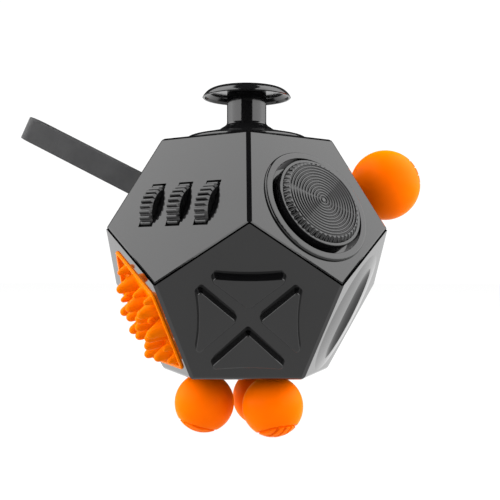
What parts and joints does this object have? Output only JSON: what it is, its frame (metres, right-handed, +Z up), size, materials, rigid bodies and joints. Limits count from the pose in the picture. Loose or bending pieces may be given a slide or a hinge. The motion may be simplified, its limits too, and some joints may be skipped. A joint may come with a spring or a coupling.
{
  "type": "fidget cube",
  "caption": "Twelve-sided fidget toy: a black faceted case with joystick, dial, gear wheels, silicone balls and spikes, buttons, rocker, roller and strap.",
  "frame": {"origin": "on the vertical axis of the case, on the plane that the three balls stand on", "axes": "+Z up along the joystick; +X towards the big ball, away from the strap; -Y towards the face with the four raised pads"},
  "size_m": [0.0796, 0.0527, 0.0641],
  "materials": {
    "case_plastic": "glossy black moulded plastic",
    "control_plastic": "satin-gloss black plastic",
    "wheel_plastic": "black plastic, knurled",
    "dial_plastic": "black plastic with fine concentric grooves",
    "button_plastic": "orange moulded plastic",
    "roller_plastic": "polished orange plastic",
    "inner_plastic": "unpolished dark grey plastic",
    "orange_silicone": "soft orange silicone, satin",
    "strap_silicone": "matte dark grey silicone",
    "steel": "bright steel wire and pins"
  },
  "bodies": {
    "case": {"upper_shell": "case_plastic", "lower_shell": "case_plastic", "joystick_bezel": "control_plastic", "joystick_cup": "inner_plastic", "joystick_spring": "steel", "gear_cradle": "inner_plastic", "gear_axle": "steel", "spike_pad": "orange_silicone", "spike_backing": "inner_plastic", "strap_pin": "steel", "button_housing": "inner_plastic", "rocker_frame": "inner_plastic", "rocker_pin": "steel", "roller_cup": "inner_plastic"},
    "gimbal": {"gimbal_ring": "inner_plastic"},
    "joystick": {"thumbstick": "control_plastic"},
    "gear_1": {"gear_wheel_1": "wheel_plastic"},
    "gear_2": {"gear_wheel_2": "wheel_plastic"},
    "gear_3": {"gear_wheel_3": "wheel_plastic"},
    "dial": {"dial": "dial_plastic", "dial_clip": "steel"},
    "big_ball": {"big_ball": "orange_silicone"},
    "ball_1": {"ball_1": "orange_silicone"},
    "ball_2": {"ball_2": "orange_silicone"},
    "ball_3": {"ball_3": "orange_silicone"},
    "strap": {"strap": "strap_silicone"},
    "rocker": {"rocker": "button_plastic"},
    "button_1": {"button_1": "button_plastic"},
    "button_2": {"button_2": "button_plastic"},
    "button_3": {"button_3": "button_plastic"},
    "button_4": {"button_4": "button_plastic"},
    "button_5": {"button_5": "button_plastic"},
    "roller": {"roller_ball": "roller_plastic"}
  },
  "joints": [
    {"name": "joystick_tilt_x", "type": "hinge", "parent": "case", "child": "gimbal", "pos_m": [0, 0, 0.04931], "axis": [1, 0, 0], "range_deg": [-8, 8], "stiffness_Nm_per_rad": 0.03, "deforming": ["joystick_spring"]},
    {"name": "joystick_tilt_y", "type": "hinge", "parent": "gimbal", "child": "joystick", "pos_m": [0, 0, 0.04931], "axis": [0, 1, 0], "range_deg": [-8, 8], "stiffness_Nm_per_rad": 0.03, "deforming": ["joystick_spring"]},
    {"name": "gear_1_spin", "type": "hinge", "parent": "case", "child": "gear_1", "pos_m": [-0.0149, -0.00979, 0.03965], "axis": [0.809, -0.5878, 0], "continuous": true},
    {"name": "gear_2_spin", "type": "hinge", "parent": "case", "child": "gear_2", "pos_m": [-0.01004, -0.01331, 0.03965], "axis": [0.809, -0.5878, 0], "continuous": true},
    {"name": "gear_3_spin", "type": "hinge", "parent": "case", "child": "gear_3", "pos_m": [-0.00519, -0.01684, 0.03965], "axis": [0.809, -0.5878, 0], "continuous": true},
    {"name": "dial_spin", "type": "hinge", "parent": "case", "child": "dial", "pos_m": [0.01164, -0.01602, 0.04077], "axis": [0.5257, -0.7236, 0.4472], "continuous": true},
    {"name": "big_ball_bend", "type": "hinge", "parent": "case", "child": "big_ball", "pos_m": [0.0176, 0.00572, 0.04157], "axis": [-0.309, 0.9511, 0], "range_deg": [-10, 10], "stiffness_Nm_per_rad": 0.05},
    {"name": "ball_1_bend", "type": "hinge", "parent": "case", "child": "ball_1", "pos_m": [-0.00774, -0.00095, 0.01163], "axis": [0.1219, -0.9925, 0], "range_deg": [-8, 8], "stiffness_Nm_per_rad": 0.05},
    {"name": "ball_2_bend", "type": "hinge", "parent": "case", "child": "ball_2", "pos_m": [0.00469, -0.00623, 0.01163], "axis": [0.7986, 0.6018, 0], "range_deg": [-8, 8], "stiffness_Nm_per_rad": 0.05},
    {"name": "ball_3_bend", "type": "hinge", "parent": "case", "child": "ball_3", "pos_m": [0.00305, 0.00718, 0.01163], "axis": [-0.9205, 0.3907, 0], "range_deg": [-8, 8], "stiffness_Nm_per_rad": 0.05},
    {"name": "strap_swing", "type": "hinge", "parent": "case", "child": "strap", "pos_m": [-0.01603, 0.00521, 0.04399], "axis": [0.4253, -0.1382, 0.8944], "range_deg": [-35, 35], "stiffness_Nm_per_rad": 0.002},
    {"name": "rocker_tip", "type": "hinge", "parent": "case", "child": "rocker", "pos_m": [0.00948, 0.01305, 0.02325], "axis": [-0.809, 0.5878, 0], "range_deg": [-16, 0]},
    {"name": "button_1_press", "type": "slide", "parent": "case", "child": "button_1", "axis": [0, -0.8944, -0.4472], "range_m": [0, 0.0008], "stiffness_N_per_m": 600},
    {"name": "button_2_press", "type": "slide", "parent": "case", "child": "button_2", "axis": [0, -0.8944, -0.4472], "range_m": [0, 0.0008], "stiffness_N_per_m": 600},
    {"name": "button_3_press", "type": "slide", "parent": "case", "child": "button_3", "axis": [0, -0.8944, -0.4472], "range_m": [0, 0.0008], "stiffness_N_per_m": 600},
    {"name": "button_4_press", "type": "slide", "parent": "case", "child": "button_4", "axis": [0, -0.8944, -0.4472], "range_m": [0, 0.0008], "stiffness_N_per_m": 600},
    {"name": "button_5_press", "type": "slide", "parent": "case", "child": "button_5", "axis": [0, -0.8944, -0.4472], "range_m": [0, 0.0008], "stiffness_N_per_m": 600},
    {"name": "roller_spin", "type": "hinge", "parent": "case", "child": "roller", "pos_m": [-0.00954, 0.01313, 0.0232], "axis": [-0.809, -0.5878, 0], "continuous": true}
  ]
}
